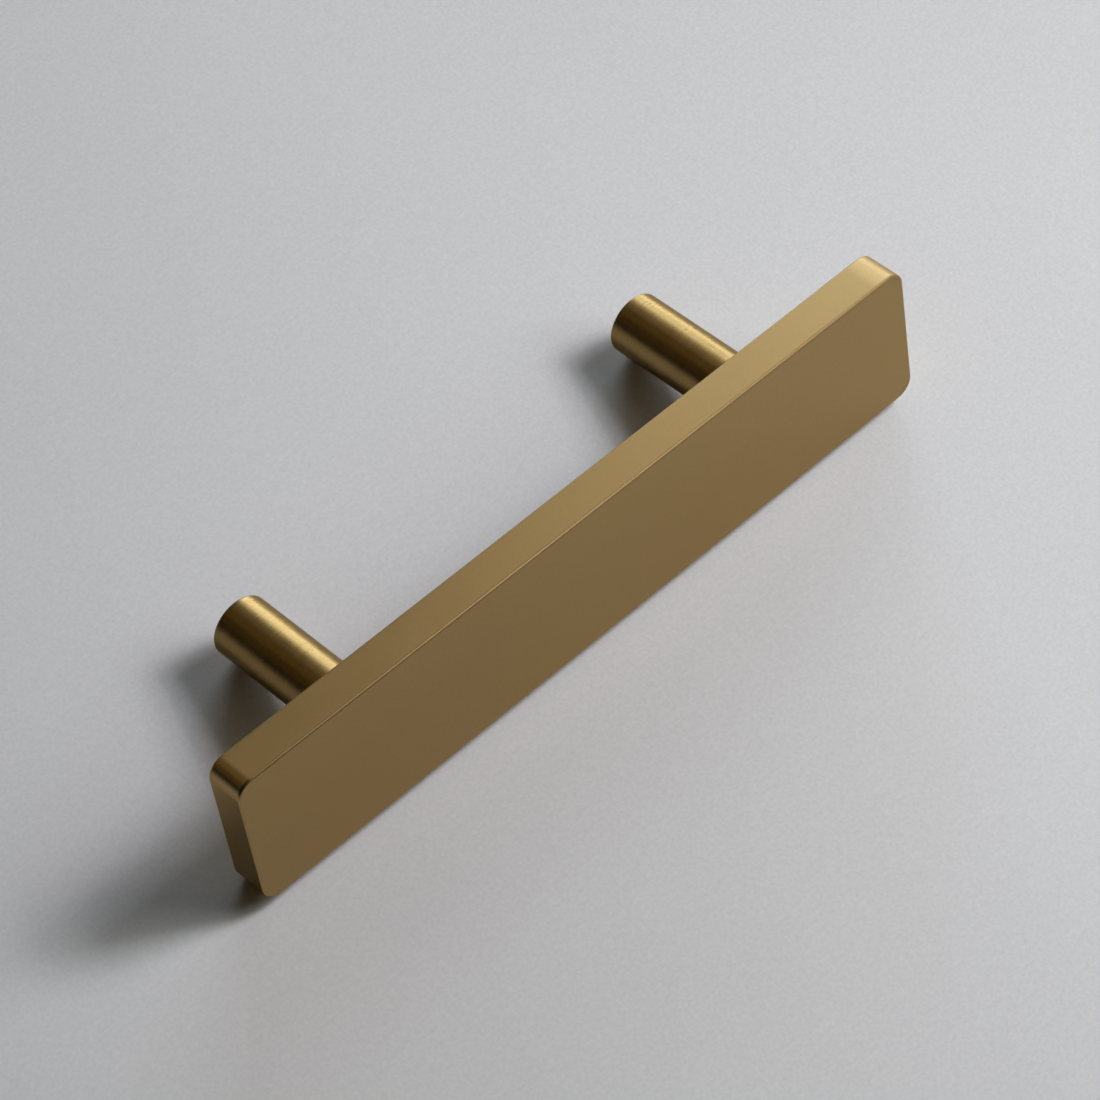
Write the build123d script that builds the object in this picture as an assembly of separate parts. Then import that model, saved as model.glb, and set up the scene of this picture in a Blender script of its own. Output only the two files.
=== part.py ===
from build123d import *
import os
from math import radians, tan

# A cabinet pull: a flat bar held clear of the door by two round posts.
# X runs along the bar, +Y goes into the door and Z goes up it, in millimetres.
# The origin is on the door's face, midway between the two fixing holes.

# Fixing to the door, with a machine screw through it into each post
hole_spacing = 96.0  # between the axes of the posts
screw_diameter = 4.0  # the hole's thread, M4 x 0.7
screw_hole_depth = 20.0  # of full thread
screw_hole_mouth = 0.5  # width of the countersink round the hole

# Bar
bar_length = 158.0
bar_height = 31.0
bar_thickness = 8.0
bar_corner_radius = 3.5  # of the four corners, as seen from the front
bar_edge_round = 0.5  # round the front and the back

# Posts
post_diameter = 12.0
post_length = 31.5  # from the door to the back of the bar
post_rim_round = 0.4  # of the rim against the door

# Studs, each hidden half in a post and half in the bar
stud_diameter = 5.0
stud_in_bar = 4.5
stud_in_post = 7.5
stud_end_chamfer = 0.5
stud_hole_spare = 0.5  # depth of hole left beyond each end
stud_socket_width = 2.5  # across the flats of the key's socket
stud_socket_depth = 2.5
thread_clearance = 0.05  # round a stud in its threaded holes

drill_point_angle = 118.0  # of the cone that the drill leaves

sides = {"left": -1, "right": 1}
stud_hole_diameter = stud_diameter + 2 * thread_clearance


def place(solid, side, depth=0.0):
    """Turns a solid's Z axis along a post's axis, at a depth from the door."""
    return Pos(side * hole_spacing / 2, -depth, 0) * Rot(-90, 0, 0) * solid


def drilled_hole(diameter, depth):
    """The space of a blind hole that runs down from the origin to the drill's cone."""
    radius = diameter / 2
    point = radius / tan(radians(drill_point_angle / 2))
    outline = Polyline((0, 0), (radius, 0), (radius, -depth), (0, -depth - point), close=True)
    return revolve(Plane.XZ * make_face(outline), Axis.Z)


def countersink(diameter, width):
    """The space of a 45 degree cone round the mouth of a hole at the origin."""
    radius = diameter / 2
    outline = Polyline((0, 0), (radius + width, 0), (radius, -width), (0, -width), close=True)
    return revolve(Plane.XZ * make_face(outline), Axis.Z)


def make_bar():
    """Flat bar with rounded corners and two blind stud holes in its back."""
    face = Plane.XZ.offset(post_length) * RectangleRounded(bar_length, bar_height, bar_corner_radius)
    bar = extrude(face, bar_thickness)
    outlines = bar.edges().group_by(Axis.Y)
    bar = fillet(outlines[0] + outlines[-1], bar_edge_round)
    hole = drilled_hole(stud_hole_diameter, stud_in_bar + stud_hole_spare)
    for side in sides.values():
        bar -= place(hole, side, post_length)
    return bar


def make_post():
    """Turned post along -Z from the door, with a screw hole and a stud hole."""
    post = extrude(Circle(post_diameter / 2), -post_length)
    rim = post.edges().group_by(Axis.Z)[-1]
    post = fillet(rim, post_rim_round)
    post -= drilled_hole(screw_diameter, screw_hole_depth)
    post -= countersink(screw_diameter, screw_hole_mouth)
    stud_hole = drilled_hole(stud_hole_diameter, stud_in_post + stud_hole_spare)
    return post - Pos(0, 0, -post_length) * Rot(180, 0, 0) * stud_hole


def make_stud():
    """Headless stud along Z, with the joint between post and bar at the origin."""
    stud = extrude(Circle(stud_diameter / 2), stud_in_post) + extrude(Circle(stud_diameter / 2), -stud_in_bar)
    rims = stud.edges().filter_by(GeomType.CIRCLE).group_by(Axis.Z)
    stud = chamfer(rims[0] + rims[-1], stud_end_chamfer)
    key = RegularPolygon(stud_socket_width / 2, 6, major_radius=False)
    return stud - Pos(0, 0, stud_in_post) * extrude(key, -stud_socket_depth)


def make_parts():
    """Every piece of the pull, in its place."""
    parts = {"bar": make_bar()}
    post = make_post()
    stud = make_stud()
    for name, side in sides.items():
        parts[f"post_{name}"] = place(post, side)
        parts[f"joining_stud_{name}"] = place(stud, side, post_length)
    return parts


os.makedirs("parts", exist_ok=True)
for node, solid in make_parts().items():
    export_step(solid, f"parts/{node}.step")
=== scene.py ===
import math

import bpy
from mathutils import Matrix, Vector


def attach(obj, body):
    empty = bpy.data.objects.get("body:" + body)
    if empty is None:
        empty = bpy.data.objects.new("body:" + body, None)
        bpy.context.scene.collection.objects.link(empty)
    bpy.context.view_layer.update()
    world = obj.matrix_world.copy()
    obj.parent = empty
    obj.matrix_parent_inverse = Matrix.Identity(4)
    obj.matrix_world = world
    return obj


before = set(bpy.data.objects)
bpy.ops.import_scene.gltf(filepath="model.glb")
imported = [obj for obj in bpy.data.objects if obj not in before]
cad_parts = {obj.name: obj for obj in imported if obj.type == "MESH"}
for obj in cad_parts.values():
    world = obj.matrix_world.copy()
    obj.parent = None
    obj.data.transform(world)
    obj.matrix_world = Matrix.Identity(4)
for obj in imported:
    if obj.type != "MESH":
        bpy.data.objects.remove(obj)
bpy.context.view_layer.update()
print("frame loaded:", ", ".join(sorted(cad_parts)))

mm = 0.001


# Shader tools

class Wire:
    # one socket of a material; sums and products of wires add Math nodes
    def __init__(self, finish, socket):
        self.finish, self.socket = finish, socket

    def maths(self, operation, *values, clamp=False):
        settings = {"operation": operation, "use_clamp": clamp}
        return self.finish.node("ShaderNodeMath", settings, dict(enumerate(values)))

    def __add__(self, other):
        return self.maths("ADD", self, other)

    def __sub__(self, other):
        return self.maths("SUBTRACT", self, other)

    def __mul__(self, other):
        return self.maths("MULTIPLY", self, other)

    def __truediv__(self, other):
        return self.maths("DIVIDE", self, other)

    def __rtruediv__(self, other):
        return self.maths("DIVIDE", other, self)

    def __radd__(self, other):
        return self.maths("ADD", other, self)

    def __rsub__(self, other):
        return self.maths("SUBTRACT", other, self)

    def __rmul__(self, other):
        return self.maths("MULTIPLY", other, self)

    def __pow__(self, other):
        return self.maths("POWER", self, other)

    def __abs__(self):
        return self.maths("ABSOLUTE", self)

    def above(self, level):
        # how far the value is over the level, and nothing below it
        return self.maths("MAXIMUM", self - level, 0.0)

    def clamped(self):
        return self.maths("MULTIPLY", self, 1.0, clamp=True)


class Finish:
    # a material and the nodes in it
    def __init__(self, name):
        self.material = bpy.data.materials.new(name)
        self.material.use_nodes = True
        self.tree = self.material.node_tree
        self.tree.nodes.clear()

    def node(self, kind, settings=None, inputs=None, output=0):
        made = self.tree.nodes.new(kind)
        for key, value in (settings or {}).items():
            setattr(made, key, value)
        for key, value in (inputs or {}).items():
            if isinstance(value, Wire):
                self.tree.links.new(value.socket, made.inputs[key])
            else:
                made.inputs[key].default_value = value
        return Wire(self, made.outputs[output]) if made.outputs else made

    def place(self):
        return self.node("ShaderNodeTexCoord", output="Object")

    def parts(self, vector):
        split = self.node("ShaderNodeSeparateXYZ", {}, {0: vector}).socket.node
        return [Wire(self, socket) for socket in split.outputs]

    def noise(self, vector, stretch, detail=2.0, roughness=0.5):
        # stretch says how many grains there are in a metre along each axis
        mapped = self.node("ShaderNodeMapping", {}, {"Vector": vector, "Scale": stretch})
        inputs = {"Vector": mapped, "Scale": 1.0, "Detail": detail, "Roughness": roughness}
        return self.node("ShaderNodeTexNoise", {"noise_dimensions": "3D"}, inputs)

    def tint(self, amount, first, second):
        # sockets 6 and 7 are the two colours of a Mix node, and its output 2 is the mixed one
        inputs = {0: amount, 6: (*first, 1), 7: (*second, 1)}
        return self.node("ShaderNodeMix", {"data_type": "RGBA"}, inputs, output=2)

    def bump(self, height):
        # the height is in metres
        return self.node("ShaderNodeBump", {}, {"Height": height, "Strength": 1.0, "Distance": 1.0})

    def shader(self, **sockets):
        inputs = {key.replace("_", " "): value for key, value in sockets.items()}
        return self.node("ShaderNodeBsdfPrincipled", {}, inputs)

    def end(self, shader):
        self.node("ShaderNodeOutputMaterial", {}, {"Surface": shader})
        return self.material


def coat(node, material):
    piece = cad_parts[node]
    piece.data.materials.clear()
    piece.data.materials.append(material)


# The camera, at the viewpoint of the picture

camera = {
    "place": (-0.30583, -0.45894, 0.58409),
    "azimuth": -35.397,
    "elevation": 47.914,
    "roll": -10.370,
    "lens": 146.99,
    "sensor": 36.0,
}


def addCamera():
    data = bpy.data.cameras.new("camera")
    data.lens = camera["lens"]
    data.sensor_width = camera["sensor"]
    seen = bpy.data.objects.new("camera", data)
    bpy.context.scene.collection.objects.link(seen)
    turn = Matrix.Rotation(math.radians(camera["azimuth"]), 4, "Z")
    turn = turn @ Matrix.Rotation(math.radians(90 - camera["elevation"]), 4, "X")
    turn = turn @ Matrix.Rotation(math.radians(camera["roll"]), 4, "Z")
    seen.matrix_world = Matrix.Translation(camera["place"]) @ turn
    bpy.context.scene.camera = seen


addCamera()
bpy.context.scene.view_settings.view_transform = "Standard"
print("camera set")


# The paper that the pull lies on, tilted so that the bar's lower back edge and the posts' rims rest on it

floor = {
    "size": 3.0,
    "barEdge": (-32.0 * mm, -15.0 * mm, 0.5 * mm),     # centre of the edge's round, y and z, and its radius
    "postRim": (-0.4 * mm, -5.6 * mm, 0.4 * mm),
    "light": (0.93, 0.93, 0.94),
    "dark": (0.62, 0.618, 0.624),
    "paintedShadeMiddle": 0.626,                       # painted shade of the paper, between dark and light, half way along the bar
    "roughness": 0.9,
    "paintedShadeRamp": 2.17,                        # how fast the painted shade darkens the paper to the right, for each metre
    "side": 50 * mm,                     # beyond this the painted shade darkens it faster
    "paintedShadeSideRamp": 1.45,
    "grain": (1500, 1500, 1500),
    "grainShare": 0.45,                  # of the step from dark to light
    "grainHeight": 0.010 * mm,
    "clouds": (30, 30, 30),
    "cloudShare": 0.075,
}


def floorTilt():
    # the angle of the line that touches both rounds from below
    y1, z1, r1 = floor["barEdge"]
    y2, z2, r2 = floor["postRim"]
    reach = math.hypot(y2 - y1, z2 - z1)
    return math.atan2(z2 - z1, y2 - y1) - math.asin((r1 - r2) / reach)


def paperFinish():
    finish = Finish("paper")
    place = finish.place()
    x = finish.parts(place)[0]
    # painted shade: the paper's colour darkens towards the right and stands in for weaker light on that side
    paintedShadeRamp = (floor["paintedShadeMiddle"] - x * floor["paintedShadeRamp"] - x.above(floor["side"]) * floor["paintedShadeSideRamp"]).clamped()
    fibres = finish.noise(place, floor["grain"], detail=1.0)
    clouds = finish.noise(place, floor["clouds"])
    shade = (fibres - 0.5) * floor["grainShare"] + (clouds - 0.5) * floor["cloudShare"] + paintedShadeRamp
    colour = finish.tint(shade, floor["dark"], floor["light"])
    normal = finish.bump(fibres * floor["grainHeight"])
    paper = finish.shader(Base_Color=colour, Roughness=floor["roughness"], Normal=normal)
    # from below the sheet isn't seen, so that it never hides the pull
    clear = finish.node("ShaderNodeBsdfTransparent")
    behind = finish.node("ShaderNodeNewGeometry", output="Backfacing")
    fromCamera = finish.node("ShaderNodeLightPath", output="Is Camera Ray")
    return finish.end(finish.node("ShaderNodeMixShader", {}, {0: behind * fromCamera, 1: paper, 2: clear}))


def addFloor():
    tilt = floorTilt()
    y, z, radius = floor["barEdge"]
    touch = Vector((0, y + radius * math.sin(tilt), z - radius * math.cos(tilt)))
    bpy.ops.object.select_all(action="DESELECT")
    bpy.ops.mesh.primitive_plane_add(size=floor["size"], location=touch, rotation=(tilt, 0, 0))
    sheet = bpy.context.object
    sheet.name = "paper"
    sheet.data.materials.append(paperFinish())
    bpy.ops.object.transform_apply(location=True, rotation=True, scale=True)
    return tilt


tilt = addFloor()
print(f"paper tilted {math.degrees(tilt):.2f} degrees")


# Light: a soft window high on the right, near panels in front of it, pale ones behind the pull and a faint
# warm glow from the left

lights = {
    # azimuth and elevation over the paper, width and height, all in degrees; then the distance,
    # and the radiance in red, green and blue
    "windowNear": (18, 40, 14, 12, 0.7, (12.7, 12.6, 13.4)),
    "windowFar": (8, 48, 14, 12, 0.9, (7.85, 7.75, 8.2)),
    "windowTop": (12, 50, 18, 14, 0.7, (3.68, 3.64, 3.86)),
    "panel": (40, 30, 22, 20, 0.6, (1.25, 1.26, 1.12)),
    "panelSide": (30, 34, 26, 22, 0.6, (2.20, 2.22, 1.98)),
    "panelTop": (30, 55, 24, 20, 0.45, (0.50, 0.51, 0.45)),
    "backLow": (-34, 4, 28, 8, 1.2, (5.7, 6.5, 7.4)),
    "backTall": (-37, 18, 26, 32, 1.2, (0.90, 1.04, 1.20)),
    "backHigh": (-38, 29, 22, 14, 1.2, (0.75, 0.88, 1.03)),
    "backSide": (-52, 12, 16, 20, 1.2, (3.2, 3.7, 4.2)),
    "backLeft": (-54, 34, 16, 14, 1.2, (0.70, 0.64, 0.50)),
    "backTop": (-72, 46, 26, 16, 1.2, (0.54, 0.48, 0.39)),
    "leftGlow": (-112, 40, 24, 18, 1.2, (0.26, 0.20, 0.08)),
    "leftLow": (-134, 24, 18, 14, 1.2, (0.13, 0.10, 0.045)),
}
room = {"colour": (1, 0.85, 0.7, 1), "strength": 0.003}


def towards(azimuth, elevation):
    # a direction over the tilted paper; azimuth 0 is to the right, and 90 to the front
    a, e = math.radians(azimuth), math.radians(elevation)
    level = Vector((math.cos(e) * math.cos(a), -math.cos(e) * math.sin(a), math.sin(e)))
    return Matrix.Rotation(tilt, 3, "X") @ level


def addLamp(name, azimuth, elevation, width, height, distance, radiance):
    data = bpy.data.lights.new(name, "AREA")
    data.shape = "RECTANGLE"
    data.size, data.size_y = (2 * distance * math.tan(math.radians(part / 2)) for part in (width, height))
    data.color = [part / max(radiance) for part in radiance]
    data.energy = 4 * max(radiance) * data.size * data.size_y
    lamp = bpy.data.objects.new(name, data)
    bpy.context.scene.collection.objects.link(lamp)
    back = towards(azimuth, elevation)
    side = back.cross(towards(0, 90)).normalized()
    turn = Matrix((-side, back.cross(-side), back)).transposed().to_4x4()
    lamp.matrix_world = Matrix.Translation(back * distance) @ turn


for name, values in lights.items():
    addLamp(name, *values)
world = bpy.data.worlds.new("room")
bpy.context.scene.world = world
world.use_nodes = True
background = world.node_tree.nodes["Background"]
background.inputs["Color"].default_value = room["colour"]
background.inputs["Strength"].default_value = room["strength"]
print("lights set:", ", ".join(lights))


# Satin brass of the bar

satin = {
    "light": (0.400, 0.273, 0.122),
    "dark": (0.356, 0.244, 0.109),
    "rim": (0.85, 0.75, 0.60),           # keeps the brass's hue at grazing angles
    "roughness": 0.30,
    "uneven": 0.04,                      # how far the roughness wanders
    "edgeRoughness": 0.29,               # how much rougher the top and bottom edges are half way along the bar
    "edgeWear": 2.1,                     # and what that gains with each metre to the right
    "cornerWear": 0.6,                   # how much rougher the right end's corners are
    "clouds": (60, 120, 120),
    "blast": (2600, 2600, 2600),         # fine even grain of the satin
    "blastHeight": 0.0022 * mm,
    "half": (79.0 * mm, 4.0 * mm, 15.5 * mm),
    "middle": -35.5 * mm,                # of the bar's depth
    "corner": 3.5 * mm,
    "edge": 0.5 * mm,
    "endBand": 7.0 * mm,                 # where the polished faces fall away a little towards the right end
    "endDrop": 0.45 * mm,
}


def satinWear(x, y, z):
    # what the edges and the right end's corners add to the roughness
    halfX, halfY, halfZ = satin["half"]
    corner, edge = satin["corner"], satin["edge"]
    across = abs(y - satin["middle"]).above(halfY - edge) / edge
    outX = abs(x).above(halfX - corner)
    outZ = abs(z).above(halfZ - corner)
    out = outX * outX + outZ * outZ
    outward = (out ** 0.5).above(corner - edge) / edge
    # 0 on the faces and on the ends' edges, 1 half way round the top and bottom edges
    edges = (across * outward * 2.0).clamped() * outZ * outZ / out
    corners = x.above(halfX - corner) * outZ * (satin["cornerWear"] / corner ** 2)
    return corners + edges * (x * satin["edgeWear"] + satin["edgeRoughness"])


def satinFinish():
    finish = Finish("satinBrass")
    place = finish.place()
    x, y, z = finish.parts(place)
    clouds = finish.noise(place, satin["clouds"])
    blast = finish.noise(place, satin["blast"], detail=3.0, roughness=0.6)
    grain = (clouds * 0.4 + (blast - 0.5) * 1.6 + 0.3).clamped()
    colour = finish.tint(grain, satin["dark"], satin["light"])
    end = x.above(satin["half"][0] - satin["endBand"]) / satin["endBand"]
    normal = finish.bump(blast * satin["blastHeight"] + end * end * -satin["endDrop"])
    roughness = satin["roughness"] + (clouds - 0.5) * satin["uneven"] + satinWear(x, y, z)
    shine = {"Metallic": 1.0, "Roughness": roughness, "Specular_Tint": (*satin["rim"], 1)}
    return finish.end(finish.shader(Base_Color=colour, Normal=normal, **shine))


coat("bar", satinFinish())


# Turned brass of the posts

turned = {
    "light": (0.306, 0.197, 0.074),
    "dark": (0.200, 0.129, 0.048),
    "rim": (0.85, 0.75, 0.60),
    "roughness": 0.31,
    "uneven": 0.04,
    "clouds": (100, 160, 100),
    "cuts": (60, 2600, 60),              # lines round the post, left by the lathe
    "cutHeight": 0.028 * mm,
    "cutRoughness": 0.15,
    "brush": (400, 7000, 400),           # finer, shorter ones between them
    "brushHeight": 0.008 * mm,
}


def turnedFinish():
    finish = Finish("turnedBrass")
    place = finish.place()
    clouds = finish.noise(place, turned["clouds"])
    cuts = finish.noise(place, turned["cuts"])
    brush = finish.noise(place, turned["brush"])
    worn = (clouds * 0.3 + cuts * 0.8 + brush * 0.6 - 0.35).clamped()
    colour = finish.tint(worn, turned["dark"], turned["light"])
    normal = finish.bump(cuts * turned["cutHeight"] + brush * turned["brushHeight"])
    roughness = turned["roughness"] + (clouds - 0.5) * turned["uneven"] + (cuts - 0.5) * turned["cutRoughness"]
    shine = {"Metallic": 1.0, "Roughness": roughness, "Specular_Tint": (*turned["rim"], 1)}
    return finish.end(finish.shader(Base_Color=colour, Normal=normal, **shine))


turnedBrass = turnedFinish()
for post in ("post_left", "post_right"):
    coat(post, turnedBrass)


# Steel of the joining studs

steel = {
    "light": (0.56, 0.55, 0.54),
    "dark": (0.46, 0.45, 0.44),
    "roughness": 0.42,
    "uneven": 0.1,
    "clouds": (400, 900, 400),
    "grain": (2000, 2000, 2000),
    "grainHeight": 0.004 * mm,
}


def steelFinish():
    finish = Finish("studSteel")
    place = finish.place()
    clouds = finish.noise(place, steel["clouds"])
    colour = finish.tint(clouds, steel["dark"], steel["light"])
    normal = finish.bump(finish.noise(place, steel["grain"]) * steel["grainHeight"])
    roughness = steel["roughness"] + (clouds - 0.5) * steel["uneven"]
    return finish.end(finish.shader(Base_Color=colour, Metallic=1.0, Roughness=roughness, Normal=normal))


studSteel = steelFinish()
for stud in ("joining_stud_left", "joining_stud_right"):
    coat(stud, studSteel)
print("finishes set")


# The thread inside the screw holes

thread = {
    "spacing": 96.0 * mm,
    "pitch": 0.7 * mm,
    "rootRadius": 2.05 * mm,             # just inside the wall of the hole
    "crestRadius": 1.62 * mm,
    "rootWidth": 0.66 * mm,
    "crestWidth": 0.175 * mm,
    "mouth": -0.55 * mm,
    "end": -19.8 * mm,
    "steps": 32,                         # round one turn
    "smoothAngle": 35,                   # degrees
    "cutSlack": 0.0001 * mm,
    "mergeGap": 0.001 * mm,
}


def selectWhere(piece, test):
    # in edit mode: selects the vertices whose place passes the test
    bpy.ops.mesh.select_all(action="DESELECT")
    bpy.ops.object.mode_set(mode="OBJECT")
    for vertex in piece.data.vertices:
        vertex.select = test(vertex.co)
    bpy.ops.object.mode_set(mode="EDIT")


def windThread():
    # the ridge's outline is laid flat, with its root outwards, and wound down the hole
    depth = thread["rootRadius"] - thread["crestRadius"]
    middle = thread["crestRadius"] + depth / 2
    bpy.ops.object.select_all(action="DESELECT")
    bpy.ops.mesh.primitive_plane_add(size=thread["rootWidth"], location=(0, 0, 0))
    ridge = bpy.context.object
    bpy.ops.object.mode_set(mode="EDIT")
    bpy.ops.mesh.select_mode(type="VERT")
    bpy.ops.mesh.select_all(action="SELECT")
    bpy.ops.transform.resize(value=(depth / thread["rootWidth"], 1, 1), center_override=(0, 0, 0))
    selectWhere(ridge, lambda place: place.x < 0)
    bpy.ops.transform.resize(value=(1, thread["crestWidth"] / thread["rootWidth"], 1), center_override=(0, 0, 0))
    bpy.ops.mesh.select_all(action="SELECT")
    bpy.ops.transform.translate(value=(middle, thread["pitch"], 0))
    bpy.ops.mesh.delete(type="ONLY_FACE")
    bpy.ops.object.mode_set(mode="OBJECT")
    turns = math.ceil(-thread["end"] / thread["pitch"]) + 3
    screw = ridge.modifiers.new("wind", "SCREW")
    screw.axis = "Y"
    screw.steps = screw.render_steps = thread["steps"]
    screw.screw_offset = -thread["pitch"]
    screw.iterations = turns
    screw.use_merge_vertices = False
    bpy.ops.object.modifier_apply(modifier="wind")
    bpy.ops.object.mode_set(mode="EDIT")
    # cut square at both ends, with a cap on each cut
    for place, side in ((thread["mouth"], 1), (thread["end"], -1)):
        bpy.ops.mesh.select_all(action="SELECT")
        plane = {"plane_co": (0, place, 0), "plane_no": (0, side, 0), "threshold": thread["cutSlack"]}
        bpy.ops.mesh.bisect(**plane, clear_outer=True, use_fill=True)
    bpy.ops.mesh.select_all(action="SELECT")
    bpy.ops.mesh.remove_doubles(threshold=thread["mergeGap"])
    bpy.ops.mesh.normals_make_consistent(inside=False)
    bpy.ops.object.mode_set(mode="OBJECT")
    bpy.ops.object.shade_smooth_by_angle(angle=math.radians(thread["smoothAngle"]))
    return ridge


def placeThread(ridge, name, x):
    bpy.ops.object.select_all(action="DESELECT")
    ridge.select_set(True)
    bpy.context.view_layer.objects.active = ridge
    ridge.name = ridge.data.name = name
    bpy.ops.transform.translate(value=(x, 0, 0))
    bpy.ops.object.transform_apply(location=True, rotation=True, scale=True)
    ridge.data.materials.clear()
    ridge.data.materials.append(turnedBrass)
    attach(ridge, "root")


leftThread = windThread()
rightThread = leftThread.copy()
rightThread.data = leftThread.data.copy()
bpy.context.scene.collection.objects.link(rightThread)
placeThread(leftThread, "thread_left", -thread["spacing"] / 2)
placeThread(rightThread, "thread_right", thread["spacing"] / 2)
print("threads wound:", len(leftThread.data.polygons), "faces each")
